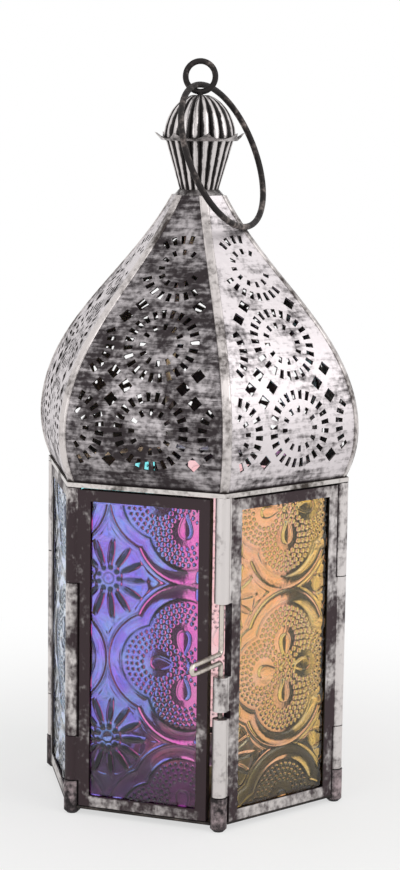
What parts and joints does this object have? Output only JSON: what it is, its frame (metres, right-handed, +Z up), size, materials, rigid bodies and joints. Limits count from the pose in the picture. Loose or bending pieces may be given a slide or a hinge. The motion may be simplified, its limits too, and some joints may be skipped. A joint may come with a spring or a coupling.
{
  "type": "candle lantern",
  "caption": "Hexagonal candle lantern of antiqued tin with pressed coloured glass panes, a hinged glazed door with a wire latch, a pierced dome, a fluted finial and a carry ring.",
  "frame": {"origin": "middle of the hexagonal footprint, on the surface that the feet stand on", "axes": "+Z up along the axis of the dome and finial; -Y towards the front corner, which carries the latch; the door is to the left of that corner"},
  "size_m": [0.0966, 0.1199, 0.2407],
  "materials": {
    "frame_tin": "antiqued tin plate",
    "dome_tin": "antiqued tin plate",
    "seam_tin": "worn bright tin plate",
    "finial_tin": "antiqued tin plate",
    "cup_tin": "plain tin plate",
    "foot_tin": "darkened",
    "wire": "drawn wire",
    "ring_wire": "darkened wire",
    "glass_violet": "pressed relief",
    "glass_amber": "pressed relief",
    "glass_green": "pressed relief",
    "glass_red": "pressed relief",
    "glass_turquoise": "pressed relief",
    "glass_blue": "pressed relief"
  },
  "bodies": {
    "lantern": {"base_plate": "frame_tin", "candle_cup": "cup_tin", "corner_pin_back": "wire", "corner_pin_left_back": "wire", "corner_pin_right_back": "wire", "corner_pin_right_front": "wire", "dome_petal_left": "dome_tin", "dome_petal_left_back": "dome_tin", "dome_petal_left_front": "dome_tin", "dome_petal_right": "dome_tin", "dome_petal_right_back": "dome_tin", "dome_petal_right_front": "dome_tin", "dome_seam_back": "seam_tin", "dome_seam_front": "seam_tin", "dome_seam_left_back": "seam_tin", "dome_seam_left_front": "seam_tin", "dome_seam_right_back": "seam_tin", "dome_seam_right_front": "seam_tin", "door_hinge_pin": "wire", "eave_ring": "seam_tin", "eye": "ring_wire", "eye_washer": "cup_tin", "finial_flange": "finial_tin", "finial_lower_cup": "finial_tin", "finial_upper_cup": "finial_tin", "foot_back": "foot_tin", "foot_front": "foot_tin", "foot_left_back": "foot_tin", "foot_left_front": "foot_tin", "foot_right_back": "foot_tin", "foot_right_front": "foot_tin", "left_back_frame": "frame_tin", "left_back_glass": "glass_turquoise", "left_frame": "frame_tin", "left_glass": "glass_blue", "neck_collar": "finial_tin", "right_back_frame": "frame_tin", "right_back_glass": "glass_red", "right_frame": "frame_tin", "right_front_frame": "frame_tin", "right_front_glass": "glass_amber", "right_glass": "glass_green"},
    "door": {"door_frame": "frame_tin", "door_glass": "glass_violet"},
    "latch": {"latch_wire": "wire"},
    "carry_ring": {"carry_ring": "ring_wire"}
  },
  "joints": [
    {"name": "door_hinge", "type": "hinge", "parent": "lantern", "child": "door", "pos_m": [-0.0433, -0.025, 0], "axis": [0, 0, -1], "range_deg": [0, 170]},
    {"name": "latch_turn", "type": "hinge", "parent": "lantern", "child": "latch", "pos_m": [0, -0.05, 0], "axis": [0, 0, 1], "range_deg": [-40, 110]},
    {"name": "carry_ring_swing", "type": "hinge", "parent": "lantern", "child": "carry_ring", "pos_m": [0, 0, 0.23234], "axis": [-0.6157, -0.788, 0], "range_deg": [0, 318]}
  ]
}
